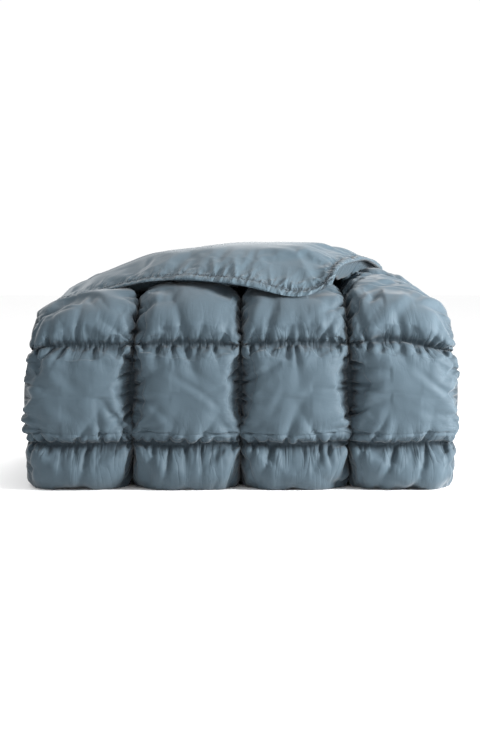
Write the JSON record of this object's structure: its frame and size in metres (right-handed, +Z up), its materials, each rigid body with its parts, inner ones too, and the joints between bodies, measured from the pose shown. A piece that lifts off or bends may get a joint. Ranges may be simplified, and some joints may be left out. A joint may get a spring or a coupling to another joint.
{
  "type": "camp quilt",
  "caption": "Folded box-quilted camp quilt with gathered seams; its last length lies on top as a flap that lifts at the rear.",
  "frame": {"origin": "on the floor under the middle of the folded bundle", "axes": "+X to the right seen from the front, along the bundle's width; +Y to the back, where the flap is folded; +Z up"},
  "size_m": [0.5284, 0.3794, 0.2983],
  "materials": {
    "shell_cloth": "matte",
    "lining_cloth": "matte",
    "filling": "matte",
    "thread": "matte"
  },
  "bodies": {
    "bundle": {"fill_under_rear_1": "filling", "fill_under_rear_2": "filling", "fill_under_rear_3": "filling", "fill_under_rear_4": "filling", "fill_under_front_1": "filling", "fill_under_front_2": "filling", "fill_under_front_3": "filling", "fill_under_front_4": "filling", "fill_lower_1": "filling", "fill_lower_2": "filling", "fill_lower_3": "filling", "fill_lower_4": "filling", "fill_middle_1": "filling", "fill_middle_2": "filling", "fill_middle_3": "filling", "fill_middle_4": "filling", "fill_upper_1": "filling", "fill_upper_2": "filling", "fill_upper_3": "filling", "fill_upper_4": "filling", "fill_top_front_1": "filling", "fill_top_front_2": "filling", "fill_top_front_3": "filling", "fill_top_front_4": "filling", "fill_top_rear_1": "filling", "fill_top_rear_2": "filling", "fill_top_rear_3": "filling", "fill_top_rear_4": "filling", "inner_row_1": "shell_cloth", "inner_row_2": "shell_cloth", "inner_row_3": "shell_cloth", "inner_row_4": "shell_cloth", "inner_row_5": "shell_cloth", "inner_row_6": "shell_cloth", "inner_row_7": "shell_cloth", "shell_under": "shell_cloth", "shell_wrap": "shell_cloth", "lining_wrap": "lining_cloth", "thread_along_1": "thread", "thread_along_2": "thread", "thread_along_3": "thread", "thread_across_lower": "thread", "thread_across_upper": "thread"},
    "flap": {"fill_flap_1_1": "filling", "fill_flap_1_2": "filling", "fill_flap_1_3": "filling", "fill_flap_1_4": "filling", "fill_flap_2_1": "filling", "fill_flap_2_2": "filling", "fill_flap_2_3": "filling", "fill_flap_2_4": "filling", "fill_flap_3_1": "filling", "fill_flap_3_2": "filling", "fill_flap_3_3": "filling", "fill_flap_3_4": "filling", "shell_flap": "shell_cloth", "lining_flap": "lining_cloth", "hem_flap_front": "lining_cloth", "hem_flap_left": "lining_cloth", "hem_flap_right": "lining_cloth"}
  },
  "joints": [
    {"name": "flap_fold", "type": "hinge", "parent": "bundle", "child": "flap", "pos_m": [0, 0.16589, 0.2452], "axis": [-1, 0, 0], "range_deg": [0, 100]}
  ]
}
